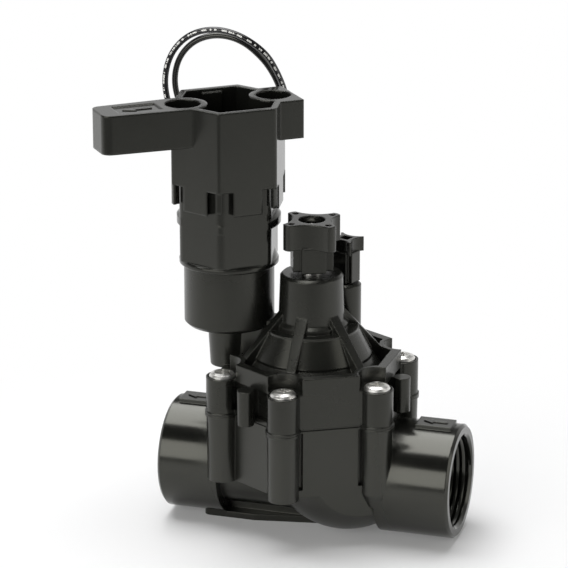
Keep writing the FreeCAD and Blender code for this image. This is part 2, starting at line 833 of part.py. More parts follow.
def bonnet():
    skirt = fuse(
        hexagon(f"{FLAT} - seam_depth", "seam_height", z=PARTING, turn="30"),
        hexagon(FLAT, "skirt_height - seam_height", z=f"{PARTING} + seam_height", turn="30"),
    )
    pocket = hexagon(f"({FLAT} - skirt_wall)", "skirt_height", z=POCKET, turn="30")
    dome_bottom = cylinder(f"{DOME_OUTER} - 1", "9", z=PARTING)
    dome_cap = common(
        sphere(DOME_OUTER, z=DOME_CENTRE),
        cylinder(f"{FLAT} - 0.5", DOME_OUTER, z=PARTING),
    )
    bosses = flange_bosses("boss_radius", PARTING, f"({SCREW_SEAT} + head_cup_height)")
    scoop_walls = common(
        fuse(*flange_bosses("scoop_radius + scoop_wall", POCKET, RIM)),
        hexagon(FLAT, "skirt_height", z=PARTING, turn="30"),
    )
    gate = bar(
        f"{FLAT} - skirt_wall - 1",
        f"{FLAT} + 1",
        f"2 * {BOLT_CIRCLE} * sin(back_angle)",
        "screw_sink + 1",
        z=SCREW_SEAT,
        turn="180",
    )
    scoops = flange_bosses("scoop_radius", f"({SCREW_SEAT} + head_cup_height)", f"({RIM} + 1)")
    scoops += flange_bosses("screw_head_radius + head_cup_gap", SCREW_SEAT, RIM)
    posts = []
    recesses = []
    for angle, flat_turn in (("0", "0"), ("post_angle", "120"), ("(0 - post_angle)", "-120")):
        height = f"{SCREW_SEAT} - {PARTING}"
        posts.append(cylinder("post_radius", height, z=PARTING, **on_circle(BOLT_CIRCLE, angle)))
        web_root = f"{FLAT} - recess_depth - 1"
        posts.append(bar(web_root, BOLT_CIRCLE, "post_web", height, z=PARTING, turn=angle))
        recesses.append(
            bar(
                f"{FLAT} - recess_depth",
                f"{FLAT} + 1",
                f"2 * ({FLAT} * tan(30) - boss_radius - slot_width)",
                f"{SCREW_SEAT} - {PARTING} - recess_rise",
                z=f"{PARTING} + recess_rise",
                turn=flat_turn,
            )
        )
    tower = turned(
        [
            ("0", ROOT),
            ("apron_radius", ROOT),
            ("apron_radius", RIM),
            ("ledge_radius", f"{RIM} + ledge_rise - ledge_height"),
            ("ledge_radius", f"{RIM} + ledge_rise"),
            ("tower_base_radius + tower_step", f"{RIM} + ledge_rise"),
            ("tower_base_radius + tower_step", f"{RIM} + ledge_rise + tower_step_height"),
            ("tower_base_radius", f"{RIM} + ledge_rise + tower_step_height + tower_step"),
            ("tower_top_radius", f"{TOWER_TOP} - tower_bevel"),
            ("tower_top_radius - tower_bevel", TOWER_TOP),
            ("0", TOWER_TOP),
        ]
    )
    bleed_boss = turned(
        [
            ("0", ROOT),
            ("bleed_boss_radius", ROOT),
            ("bleed_boss_radius", f"{BLEED_TOP} - bleed_boss_bevel"),
            ("bleed_boss_radius - bleed_boss_bevel", BLEED_TOP),
            ("0", BLEED_TOP),
        ],
        x=BLEED_X,
        y=BLEED_Y,
    )
    solenoid_boss = turned(
        [
            ("0", BOSS_BOTTOM),
            (f"{BOSS_RADIUS} - boss_round", BOSS_BOTTOM),
            (BOSS_RADIUS, f"{BOSS_BOTTOM} + boss_round"),
            (BOSS_RADIUS, BOSS_TOP),
            ("0", BOSS_TOP),
        ],
        x=SOLENOID_X,
    )
    neck_height = f"{BOSS_BOTTOM} + 3 - {ROOT}"
    neck = cone("neck_radius - neck_taper", "neck_radius", neck_height, x=SOLENOID_X, z=ROOT)
    neck_web = bar(SOLENOID_X, "0", "neck_web", neck_height, z=ROOT)
    ribs = [bonnet_rib(angle) for angle in ("90", "-90", "side_angle", "(0 - side_angle)")]
    ribs += [bonnet_rib(angle) for angle in ("back_angle", "(0 - back_angle)")]
    walls = fuse(cut(skirt, pocket), scoop_walls)
    lower = cut(fuse(cut(walls, gate), dome_bottom, dome_cap, *bosses, *ribs), *scoops)
    shell = cut(
        fuse(lower, *flange_bosses("boss_radius + bead_width", PARTING, f"({PARTING} + bead_height)")),
        *recesses,
    )
    hollow = cut(
        fuse(shell, *posts, tower, bleed_boss, solenoid_boss, neck, neck_web),
        sphere(DOME_INNER, z=DOME_CENTRE),
        cylinder("spring_radius + spring_wire + loose_gap", f"{HUB_BOTTOM} - {DOME_CENTRE}", z=DOME_CENTRE),
        cylinder("chamber_radius + rim_width", "rim_depth", z=f"{PARTING} - rim_gap * 2"),
    )
    hub = cylinder("hub_radius", f"{RIM} + ledge_rise - {HUB_BOTTOM}", z=HUB_BOTTOM)
    guide = hexagon("plunger_flat + loose_gap", f"{TOWER_WALL} - {DOME_CENTRE}", z=DOME_CENTRE)
    stem_bore = cylinder("stem_radius + running_gap", "tower_wall + 2", z=f"{TOWER_WALL} - 1")
    bleed = {"x": BLEED_X, "y": BLEED_Y}
    bleed_radius = "bleed_thread_radius + running_gap"
    bleed_bore = cylinder(bleed_radius, f"{BLEED_TOP} - {BLEED_SEAT} + 1", z=BLEED_SEAT, **bleed)
    bleed_port = cylinder("bleed_port_radius", f"{BLEED_SEAT} - {ROOT} + 2", z=f"{ROOT} - 1", **bleed)
    nose_bore = cylinder("nose_radius + running_gap", f"{BOSS_TOP} - {PILOT} + 1", x=SOLENOID_X, z=PILOT)
    nozzle = cylinder("nozzle_radius", "nozzle_height + 1", x=SOLENOID_X, z=f"{PILOT} - 1")
    link_floor = f"({PILOT} - link_sink - 2 * orifice_radius)"
    orifice = cylinder("orifice_radius", f"{NOZZLE} - {link_floor} + 1", x=SOLENOID_X, z=link_floor)
    exhaust_height = f"{PILOT} - link_sink - {PARTING} + 2"
    exhaust = cylinder("pilot_radius", exhaust_height, x=EXHAUST_X, z=f"{PARTING} - 2")
    side = "(2 * orifice_radius)"
    link_start = f"min({SOLENOID_X}; {EXHAUST_X}) - orifice_radius"
    link_end = f"max({SOLENOID_X}; {EXHAUST_X}) + orifice_radius"
    link = bar(link_start, link_end, side, side, z=link_floor)
    supply_x = f"{SOLENOID_X} + nose_radius - supply_inset"
    supply = cylinder("pilot_radius", f"{PILOT} - {DOME_CENTRE} + 1", x=supply_x, z=DOME_CENTRE)
    screw_holes = [
        cylinder(
            "screw_radius + screw_gap",
            f"{SCREW_SEAT} - {PARTING} + 4",
            z=f"{PARTING} - 2",
            **on_circle(BOLT_CIRCLE, angle),
        )
        for angle in bolt_angles()
    ]
    cored = cut(
        fuse(hollow, hub),
        guide,
        stem_bore,
        bleed_bore,
        bleed_port,
        nose_bore,
        exhaust,
        supply,
        *screw_holes,
    )
    return part("bonnet", cut(fuse(cored, nozzle), orifice, link))


def bonnet_screws():
    """One pan-head screw, copied to the six bosses."""
    head = turned(
        [
            ("0", f"{PARTING} - screw_reach"),
            ("screw_radius * 0.6", f"{PARTING} - screw_reach"),
            ("screw_radius", f"{PARTING} - screw_reach + 1.5"),
            ("screw_radius", SCREW_SEAT),
            ("screw_head_radius", SCREW_SEAT),
            ("screw_head_radius", f"{SCREW_SEAT} + screw_head_height * 0.45"),
            ("screw_head_radius * 0.88", f"{SCREW_SEAT} + screw_head_height * 0.78"),
            ("screw_head_radius * 0.6", f"{SCREW_SEAT} + screw_head_height"),
            ("0", f"{SCREW_SEAT} + screw_head_height"),
        ]
    )
    half = "(screw_drive_length / 2)"
    drive_bottom = f"{SCREW_SEAT} + screw_head_height - screw_drive_depth"
    drives = [
        bar(f"0 - {half}", half, "screw_drive_width", "screw_drive_depth + 1", z=drive_bottom, turn=turn)
        for turn in ("20", "110")
    ]
    screw = cut(head, *drives)
    copies = []
    for angle in bolt_angles():
        copy = doc.addObject("App::Link", "Screw")
        copy.LinkedObject = screw
        copies.append(place(copy, **on_circle(BOLT_CIRCLE, angle)))
    group = doc.addObject("Part::Compound", "Screws")
    group.Links = copies
    return part("bonnet_screws", group)


def diaphragm():
    hole = "retainer_radius + loose_gap"
    rim = "chamber_radius + rim_width - rim_gap"
    web = turned(
        [
            (hole, WEB),
            ("support_radius", WEB),
            ("chamber_radius - 1.5", f"{PARTING} - rim_depth + rim_gap"),
            (rim, f"{PARTING} - rim_depth + rim_gap"),
            (rim, f"{PARTING} + rim_depth - 3 * rim_gap"),
            ("chamber_radius - 0.8", f"{PARTING} + rim_depth - 3 * rim_gap"),
            ("support_radius - 0.4", f"{WEB} + web_thickness"),
            (hole, f"{WEB} + web_thickness"),
        ]
    )
    exhaust = cylinder("pilot_radius", "4 * rim_depth", x=EXHAUST_X, z=f"{PARTING} - 2 * rim_depth")
    return part("diaphragm", cut(web, exhaust))


def seat_washer():
    return part(
        "seat_washer",
        tube("retainer_radius + face_gap", "washer_radius", WASHER, "washer_thickness"),
    )


def diaphragm_support():
    hole = "retainer_radius + face_gap"
    return part(
        "diaphragm_support",
        turned(
            [
                (hole, SUPPORT),
                ("support_radius - 1.2", SUPPORT),
                ("support_radius - 1.2", f"{SUPPORT} + 1.4"),
                ("support_radius - 0.2", SUPPORT_TOP),
                ("support_hub_radius", SUPPORT_TOP),
                ("support_hub_radius - 0.6", HUB_TOP),
                (hole, HUB_TOP),
            ]
        ),
    )


def diaphragm_retainer():
    return part(
        "diaphragm_retainer",
        turned(
            [
                ("0", f"{WASHER} - retainer_head_height"),
                ("retainer_head_radius - 0.8", f"{WASHER} - retainer_head_height"),
                ("retainer_head_radius", f"{WASHER} - retainer_head_height + 0.8"),
                ("retainer_head_radius", WASHER),
                ("retainer_radius", WASHER),
                ("retainer_radius", f"{HUB_TOP} - 0.5"),
                ("0", f"{HUB_TOP} - 0.5"),
            ]
        ),
    )


def diaphragm_spring():
    coil = helical_spring("spring_radius", "spring_wire", SUPPORT_TOP, HUB_BOTTOM, "spring_turns")
    return part("diaphragm_spring", coil)


def flow_plunger():
    """The nut that turns the stem's turns into travel: a keyed hexagon over a round pusher."""
    rod = turned(
        [
            ("0", PLUNGER),
            ("plunger_rod_radius - 0.8", PLUNGER),
            ("plunger_rod_radius", f"{PLUNGER} + 0.8"),
            ("plunger_rod_radius", f"{PLUNGER_HEX} + 0.5"),
            ("0", f"{PLUNGER_HEX} + 0.5"),
        ]
    )
    key = hexagon("plunger_flat", "plunger_hex_height", z=PLUNGER_HEX)
    bore = cylinder(
        "stem_thread_radius + running_gap",
        "plunger_rod_length + plunger_hex_height",
        z=f"{PLUNGER} + plunger_end",
    )
    return part("flow_plunger", cut(fuse(rod, key), bore))


def flow_stem():
    collar_top = f"({TOWER_WALL} - thrust_washer_height - 2 * face_gap)"
    groove = "(stem_radius - stem_groove_depth)"
    half = "((stem_radius + running_gap) / 2 - (stem_radius - stem_groove_depth) / 2 + ring_gap)"
    profile = [
        ("0", f"{PLUNGER} + plunger_end + plunger_travel + 1"),
        ("stem_thread_radius", f"{PLUNGER} + plunger_end + plunger_travel + 1"),
        ("stem_thread_radius", f"{collar_top} - stem_collar_height"),
        ("plunger_flat - loose_gap", f"{collar_top} - stem_collar_height"),
        ("plunger_flat - loose_gap", collar_top),
        ("stem_radius", collar_top),
    ]
    for height in stem_ring_heights():
        profile += [
            ("stem_radius", f"{height} - {half}"),
            (groove, f"{height} - {half}"),
            (groove, f"{height} + {half}"),
            ("stem_radius", f"{height} + {half}"),
        ]
    profile += [("stem_radius", f"{KNOB} - 0.2"), ("0", f"{KNOB} - 0.2")]
    side = "(drive_side / 2)"
    drive_height = f"{KNOB_FLOOR} - drive_cover - loose_gap - {KNOB} + 1"
    drive = bar(f"0 - {side}", side, "drive_side", drive_height, z=f"{KNOB} - 1", turn="knob_angle")
    screw_hole = cylinder(
        "knob_screw_radius + face_gap", "knob_screw_length + 2", z=f"{KNOB_FLOOR} - knob_screw_length - 0.5"
    )
    return part("flow_stem", cut(fuse(turned(profile), drive), screw_hole))


def stem_ring_heights():
    middle = f"({TOWER_WALL} + tower_wall / 2)"
    return [f"({middle} - stem_ring_pitch / 2)", f"({middle} + stem_ring_pitch / 2)"]


def flow_stem_rings():
    rings = [
        o_ring("(stem_radius - stem_groove_depth)", "(stem_radius + running_gap)", height)
        for height in stem_ring_heights()
    ]
    pair = doc.addObject("Part::Compound", "Rings")
    pair.Links = rings
    return part("flow_stem_rings", pair)


def flow_thrust_washer():
    bottom = f"({TOWER_WALL} - thrust_washer_height - face_gap)"
    washer = tube("stem_radius + running_gap", "plunger_flat - loose_gap", bottom, "thrust_washer_height")
    return part("flow_thrust_washer", washer)


def flow_knob():
    half = "(knob_stem_span / 2)"
    arms = [
        bar(f"0 - {half}", half, "knob_arm_width", "knob_stem_height + 0.5", z=KNOB, turn=turn)
        for turn in ("knob_stem_angle", "(knob_stem_angle + 90)")
    ]
    grip = cross_knob(
        "knob_side", "knob_height", KNOB_HEAD, "knob_scoop_radius", "knob_scoop_depth", "knob_corner"
    )
    recess = cylinder("knob_recess_radius", "knob_recess_depth + 1", z=KNOB_FLOOR)
    side = "(drive_side / 2 + loose_gap)"
    socket_height = f"{KNOB_FLOOR} - drive_cover - {KNOB} + 1"
    socket = bar(f"0 - {side}", side, f"2 * {side}", socket_height, z=f"{KNOB} - 1")
    screw_hole = cylinder("knob_screw_radius + loose_gap", "6", z=f"{KNOB_FLOOR} - 3")
    dimple_bottom = f"{KNOB_TOP} - knob_dimple_depth"
    dimples = [
        cylinder(
            "knob_dimple_radius",
            "knob_dimple_depth + 1",
            z=dimple_bottom,
            **on_circle("knob_dimple_place", angle),
        )
        for angle in ("45", "135", "225", "315")
    ]
    knob = cut(fuse(grip, *arms), recess, socket, screw_hole, *dimples)
    return part("flow_knob", place(knob, turn="knob_angle"))


def knob_screw():
    """The pan-head screw that holds the flow knob on its stem."""
    head = f"({KNOB_FLOOR} + face_gap)"
    screw = turned(
        [
            ("0", f"{head} - knob_screw_length"),
            ("knob_screw_radius", f"{head} - knob_screw_length"),
            ("knob_screw_radius", head),
            ("knob_screw_head_radius", head),
            ("knob_screw_head_radius", f"{head} + knob_screw_head_height * 0.5"),
            ("knob_screw_head_radius * 0.6", f"{head} + knob_screw_head_height"),
            ("0", f"{head} + knob_screw_head_height"),
        ]
    )
    drives = [
        bar("0 - 1.5", "1.5", "0.7", "1", z=f"{head} + knob_screw_head_height - 0.8", turn=turn)
        for turn in ("10", "100")
    ]
    return part("knob_screw", cut(screw, *drives))


def bleed_groove():
    """Height of the O-ring on the bleed screw."""
    return f"({BLEED_TOP} - bleed_groove_sink)"


def bleed_screw():
    bottom = f"({BLEED_SEAT} + 0.6)"
    groove = "(bleed_thread_radius - bleed_groove_depth)"
    half = "((bleed_groove_depth + running_gap) / 2 + ring_gap)"
    base = f"({BLEED_KNOB} - bleed_stem_height)"
    spindle = turned(
        [
            ("0", bottom),
            ("bleed_port_radius * 0.6", bottom),
            ("bleed_thread_radius", f"{bottom} + 2.4"),
            ("bleed_thread_radius", f"{bleed_groove()} - {half}"),
            (groove, f"{bleed_groove()} - {half}"),
            (groove, f"{bleed_groove()} + {half}"),
            ("bleed_thread_radius", f"{bleed_groove()} + {half}"),
            ("bleed_thread_radius", f"{base} + 0.5"),
            ("0", f"{base} + 0.5"),
        ]
    )
    span = "(bleed_stem_span / 2)"
    arms = [
        bar(f"0 - {span}", span, "bleed_arm_width", "bleed_stem_height + 0.5", z=base, turn=turn)
        for turn in ("0", "90")
    ]
    grip = cross_knob(
        "bleed_knob_side",
        "bleed_knob_height",
        BLEED_KNOB,
        "bleed_scoop_radius",
        "bleed_scoop_depth",
        "bleed_corner",
    )
    side = "(bleed_recess_side / 2)"
    recess_floor = f"{BLEED_KNOB} + bleed_knob_height - bleed_recess_depth"
    recess = bar(f"0 - {side}", side, "bleed_recess_side", "bleed_recess_depth + 1", z=recess_floor)
    screw = cut(fuse(spindle, grip, *arms), recess)
    return part("bleed_screw", place(screw, x=BLEED_X, y=BLEED_Y, turn="bleed_knob_angle"))


def bleed_ring():
    ring = o_ring(
        "(bleed_thread_radius - bleed_groove_depth)",
        "(bleed_thread_radius + running_gap)",
        bleed_groove(),
        x=BLEED_X,
        y=BLEED_Y,
    )
    return part("bleed_ring", ring)


def nose_groove():
    """Height of the O-ring on the solenoid's nose."""
    return f"({BOSS_TOP} - nose_groove_sink)"


def solenoid_ring():
    ring = o_ring(
        "(nose_radius - nose_groove_depth)", "(nose_radius + running_gap)", nose_groove(), x=SOLENOID_X
    )
    return part("solenoid_ring", ring)


def solenoid_housing():
    half = "((nose_groove_depth + running_gap) / 2 + ring_gap)"
    groove = "(nose_radius - nose_groove_depth)"
    nose = turned(
        [
            ("0", f"{PILOT} + nose_bottom"),
            ("nose_radius - 0.8", f"{PILOT} + nose_bottom"),
            ("nose_radius", f"{PILOT} + nose_bottom + 0.8"),
            ("nose_radius", f"{nose_groove()} - {half}"),
            (groove, f"{nose_groove()} - {half}"),
            (groove, f"{nose_groove()} + {half}"),
            ("nose_radius", f"{nose_groove()} + {half}"),
            ("nose_radius", FLANGE),
            ("flange_radius - 0.4", FLANGE),
            ("flange_radius", f"{FLANGE} + 0.4"),
            ("flange_radius", f"{HEX} - 0.4"),
            ("flange_radius - 0.4", HEX),
            ("0", HEX),
        ],
        x=SOLENOID_X,
    )
    shoulder = turned(
        [
            ("0", HEX),
            ("flange_radius - 0.4", HEX),
            ("flange_radius - 0.4", f"{HEX} + 0.6"),
            ("hex_flat", f"{HEX} + shoulder_height"),
            ("0", f"{HEX} + shoulder_height"),
        ],
        x=SOLENOID_X,
    )
    barrel = hexagon("hex_flat", "hex_height", x=SOLENOID_X, z=HEX, turn="sleeve_angle")
    barrel = rounded(barrel, "hex_corner", upright)
    band = turned(
        [
            ("0", RING),
            ("ring_radius - ring_bevel", RING),
            ("ring_radius", f"{RING} + ring_bevel"),
            ("ring_radius", f"{RING} + ring_height - ring_bevel"),
            ("ring_radius - ring_bevel", f"{RING} + ring_height"),
            ("0", f"{RING} + ring_height"),
        ],
        x=SOLENOID_X,
    )
    plain_sides = [
        bar(
            "hex_flat",
            "ring_radius + 1",
            "2 * hex_flat",
            f"{RING} + ring_height - {HEX} + 1",
            x=SOLENOID_X,
            z=HEX,
            turn=f"(sleeve_angle + {angle})",
        )
        for angle in (210, 270)
    ]
    collar = cut(fuse(shoulder, band), *plain_sides)
    room = cylinder(COIL_RADIUS, f"{HOUSING_TOP} - {HEX}", x=SOLENOID_X, z=f"{HEX} + coil_floor")
    bore = cylinder(f"{GUIDE_OUTER} + face_gap", f"{HOUSING_TOP} - {PILOT}", x=SOLENOID_X, z=PILOT)
    lead_hole = side_hole("grommet_neck_radius + face_gap", f"{COIL_RADIUS} - 1", "grommet_reach")
    return part("solenoid_housing", cut(fuse(nose, barrel, collar), room, bore, lead_hole))


def side_hole(radius, start, end):
    """A round bar out of the solenoid's back corner, between two distances from its axis."""
    item = cylinder(radius, f"{end} - ({start})")
    angle = value(LEAD_CORNER)
    outward = FreeCAD.Vector(math.cos(math.radians(angle)), math.sin(math.radians(angle)), 0)
    item.Placement.Rotation = FreeCAD.Rotation(UP, outward)
    return place(
        item,
        x=f"{SOLENOID_X} + ({start}) * cos({LEAD_CORNER})",
        y=f"({start}) * sin({LEAD_CORNER})",
        z=f"{RING} + ring_height + grommet_rise",
    )


def lead_grommet():
    bulge = f"(hex_flat / cos(30) - 0.2)"
    collar = side_hole("grommet_radius", bulge, "grommet_reach")
    neck = side_hole("grommet_neck_radius", f"{bulge} - grommet_neck_length", f"{bulge} + 1")
    return part("lead_grommet", fuse(collar, neck))


def coil_yoke():
    outer = f"({COIL_RADIUS} - face_gap)"
    hole = f"({GUIDE_OUTER} + face_gap)"
    return part(
        "coil_yoke",
        turned(
            [
                (hole, YOKE),
                (outer, YOKE),
                (outer, YOKE_TOP),
                (f"{outer} - yoke_wall", YOKE_TOP),
                (f"{outer} - yoke_wall", f"{YOKE} + yoke_wall"),
                (hole, f"{YOKE} + yoke_wall"),
            ],
            x=SOLENOID_X,
        ),
    )


def coil_bobbin():
    inner = f"({GUIDE_OUTER} + face_gap)"
    hub = f"({inner} + bobbin_wall)"
    rim = f"({COIL_RADIUS} - yoke_wall - 3 * face_gap)"
    low = f"({YOKE} + yoke_wall + face_gap)"
    high = f"({YOKE_TOP} - yoke_wall - face_gap)"
    return part(
        "coil_bobbin",
        turned(
            [
                (inner, low),
                (rim, low),
                (rim, f"{low} + bobbin_flange"),
                (hub, f"{low} + bobbin_flange"),
                (hub, f"{high} - bobbin_flange"),
                (rim, f"{high} - bobbin_flange"),
                (rim, high),
                (inner, high),
            ],
            x=SOLENOID_X,
        ),
    )


def coil_winding():
    hub = f"({GUIDE_OUTER} + bobbin_wall + 2 * face_gap)"
    rim = f"({COIL_RADIUS} - yoke_wall - 8 * face_gap)"
    low = f"({YOKE} + yoke_wall + bobbin_flange + 2 * face_gap)"
    height = f"(yoke_height - 2 * yoke_wall - 2 * bobbin_flange - 4 * face_gap)"
    return part("coil_winding", tube(hub, rim, low, height, x=SOLENOID_X))


def yoke_plate():
    rim = f"({COIL_RADIUS} - yoke_wall - 3 * face_gap)"
    bottom = f"({YOKE_TOP} - yoke_wall)"
    return part("yoke_plate", tube(f"{GUIDE_OUTER} + face_gap", rim, bottom, "yoke_wall", x=SOLENOID_X))


def guide_tube():
    bottom = f"({PILOT} + nose_bottom)"
    inner = "(armature_radius + running_gap)"
    height = f"({YOKE_TOP} - {PILOT} - nose_bottom)"
    return part("guide_tube", tube(inner, GUIDE_OUTER, bottom, height, x=SOLENOID_X))


def solenoid_core():
    return part("solenoid_core", cylinder("armature_radius", "core_length", x=SOLENOID_X, z=CORE))


def solenoid_cap():
    """Potting that closes the coil's room."""
    bottom = f"{HOUSING_TOP} - cap_height"
    return part(
        "solenoid_cap", cylinder(f"{COIL_RADIUS} - face_gap", "cap_height", x=SOLENOID_X, z=bottom)
    )


def solenoid_armature():
    top = f"({CORE} - armature_lift - 4 * face_gap)"
    pocket = "(armature_seal_radius + face_gap)"
    sink = f"({top} - armature_spring_sink)"
    spring_hole = "(armature_spring_radius + armature_spring_wire + loose_gap)"
    return part(
        "solenoid_armature",
        turned(
            [
                (pocket, ARMATURE),
                ("armature_radius", ARMATURE),
                ("armature_radius", top),
                (spring_hole, top),
                (spring_hole, sink),
                ("0", sink),
                ("0", f"{SEAL} + armature_seal_height"),
                (pocket, f"{SEAL} + armature_seal_height"),
            ],
            x=SOLENOID_X,
        ),
    )


def armature_seal():
    seal = cylinder("armature_seal_radius", "armature_seal_height", x=SOLENOID_X, z=SEAL)
    return part("armature_seal", seal)


def armature_spring():
    sink = f"({CORE} - armature_lift - 4 * face_gap - armature_spring_sink)"
    coil = helical_spring(
        "armature_spring_radius", "armature_spring_wire", sink, CORE, "armature_spring_turns", x=SOLENOID_X
    )
    return part("armature_spring", coil)


def sleeve_outside(at, front, back):
    """The sleeve's six-sided shell with its lever and the stub opposite."""
    block = hexagon(SLEEVE_FLAT, "sleeve_height", z=SLEEVE, turn=front, **at)
    shell = rounded(block, "sleeve_corner", upright)
    widths = ("lever_root_width", "lever_tip_width")
    lever = rounded(
        tapered(ARM_ROOT, "lever_reach", *widths, "lever_height", z=LEVER, turn=back, **at),
        "lever_tip_radius",
        lambda edge: upright(edge) and from_solenoid(edge.CenterOfMass) > value("stub_reach"),
    )
    stub = bar(ARM_ROOT, "stub_reach", "stub_width", "lever_height", z=LEVER, turn=front, **at)
    return fuse(shell, lever, stub)


def from_solenoid(point):
    """Distance of a point from the solenoid's axis."""
    return math.hypot(point.x - value(SOLENOID_X), point.y)


def handle_sleeve():
    at = {"x": SOLENOID_X}
    front = "sleeve_angle"
    back = "(sleeve_angle + 180)"
    room = cut(
        hexagon(SLEEVE_INNER, "sleeve_height + 2", z=f"{SLEEVE} - 1", turn=front, **at),
        *eye_walls("lever_height + 2"),
        *well_pads(),
    )
    ledge_flat = f"{SLEEVE_INNER} + face_gap * 4"
    ledge = cut(
        hexagon(ledge_flat, "sleeve_ledge", z=f"{HOUSING_TOP} + loose_gap", turn=front, **at),
        cylinder("hex_flat - sleeve_ledge", "sleeve_ledge + 2", z=f"{HOUSING_TOP} - 1", **at),
    )
    eyes = [
        cylinder("eye_radius", "eye_depth + 1", z=f"{SLEEVE_TOP} - eye_depth", **eye_at(side))
        for side in (front, back)
    ]
    on_lever = {"x": SOLENOID_X, "z": f"{SLEEVE_TOP} - panel_depth", "turn": back}
    panel = bar("panel_start", "panel_end", "panel_width", "panel_depth + 1", **on_lever)
    corners = [f"(sleeve_angle + {60 * step})" for step in range(6)]
    notch_end = f"{SLEEVE_FLAT} / cos(30) + 1"
    notches = [
        bar(ARM_ROOT, notch_end, "notch_width", "notch_height + 1", z=f"{SLEEVE} - 1", turn=corner, **at)
        for corner in corners
    ]
    outer = f"({SLEEVE_FLAT} / cos(30) - face_gap * 10)"
    tip = f"{SLEEVE} + notch_height - finger_length"
    height = "finger_length + finger_wall"
    fingers = [
        bar(f"{outer} - finger_wall", outer, "finger_width", height, z=tip, turn=corner, **at)
        for corner in corners
        if corner != LEAD_CORNER
    ]
    block = sleeve_outside(at, front, back)
    return part("handle_sleeve", fuse(cut(block, room, panel, *eyes, *notches), ledge, *fingers))


def eye_at(angle):
    """Centre of the round eye on one side of the sleeve."""
    return {"x": f"{SOLENOID_X} + eye_place * cos({angle})", "y": f"eye_place * sin({angle})"}


def eye_walls(height):
    return [
        cylinder("eye_radius + eye_wall", height, z=LEVER, **eye_at(angle))
        for angle in ("sleeve_angle", "(sleeve_angle + 180)")
    ]


def well_pads():
    """Upright pads inside the well, in the middle of four of its walls."""
    return [
        bar(
            f"{SLEEVE_INNER} - rib_pad_depth",
            f"{SLEEVE_INNER} + 1",
            "rib_pad_width",
            f"sleeve_height - ({HOUSING_TOP} - {SLEEVE}) - rib_pad_sink",
            x=SOLENOID_X,
            z=HOUSING_TOP,
            turn=f"(sleeve_angle + {angle})",
        )
        for angle in (90, 270)
    ]


def lead_line(route):
    """The wire's centre line: straight runs joined by arcs as large as both runs allow."""
    points = [FreeCAD.Vector(*p) for p in route]
    edges = []
    radii = []
    start = points[0]
    for before, corner, after in zip(points, points[1:], points[2:]):
        back = (before - corner).normalize()
        ahead = (after - corner).normalize()
        half_turn = (math.pi - back.getAngle(ahead)) / 2
        shorter = min((before - corner).Length, (after - corner).Length)
        setback = 0.45 * shorter
        radius = setback / math.tan(half_turn)
        radii.append(radius)
        centre = corner + (back + ahead).normalize() * (radius / math.cos(half_turn))
        middle = centre + (corner - centre).normalize() * radius
        arc_start = corner + back * setback
        arc_end = corner + ahead * setback
        edges.append(Part.LineSegment(start, arc_start).toShape())
        edges.append(Part.Arc(arc_start, middle, arc_end).toShape())
        start = arc_end
    edges.append(Part.LineSegment(start, points[-1]).toShape())
    return Part.Wire(edges), radii


def lead_wire(label, route):
    line, radii = lead_line(route)
    print(label, "length", round(line.Length, 1), "radii", [round(r) for r in radii])
    return part(label, swept(line, value("lead_radius")))


def lead_coil(label, level):
    """Outer shape of one lead's flat coil on the ground."""
    inner = "lead_coil_radius - lead_coil_width / 2"
    outer = "lead_coil_radius + lead_coil_width / 2"
    bottom = f"({level} * (lead_coil_height + face_gap))"
    coil = tube(inner, outer, bottom, "lead_coil_height", x=str(COIL_CENTRE[0]), y=str(COIL_CENTRE[1]))
    return part(label, coil)


PARTS = [
    valve_body(),
    bonnet(),
    bonnet_screws(),
    diaphragm(),
    diaphragm_spring(),
    seat_washer(),
    diaphragm_support(),
    diaphragm_retainer(),
    flow_knob(),
    knob_screw(),
    flow_stem(),
    flow_stem_rings(),
    flow_thrust_washer(),
    flow_plunger(),
    bleed_ring(),
    bleed_screw(),
    solenoid_ring(),
    solenoid_housing(),
    coil_yoke(),
    coil_bobbin(),
    coil_winding(),
    yoke_plate(),
    guide_tube(),
    solenoid_core(),
    solenoid_cap(),
    handle_sleeve(),
    lead_grommet(),
    solenoid_armature(),
    armature_seal(),
    armature_spring(),
    lead_wire("lead_wire_a", LEAD_A),
    lead_wire("lead_wire_b", LEAD_B),
    lead_coil("lead_coil_a", 0),
    lead_coil("lead_coil_b", 1),
]

doc.recompute()
for item in doc.Objects:
    if "Invalid" in item.State or "Error" in item.State:
        raise ValueError(f"{item.Label} did not compute: {item.State}")
os.makedirs("parts", exist_ok=True)
for item in PARTS:
    if item.Shape.isNull() or not item.Shape.isValid():
        raise ValueError(f"{item.Label} has no valid shape")
    item.Shape.exportStep(f"parts/{item.Label}.step")
    box = item.Shape.BoundBox
    print(item.Label, len(item.Shape.Solids), "solids", round(item.Shape.Volume), "mm3", end=" ")
    print("z", round(box.ZMin, 2), "to", round(box.ZMax, 2))
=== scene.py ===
"""Studio scene of an inline irrigation zone valve on a white floor.

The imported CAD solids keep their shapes. This script adds their finishes, the turns of thread in the
ports, the moulded marks and the two lead wires.
"""

import bpy
import json
import math

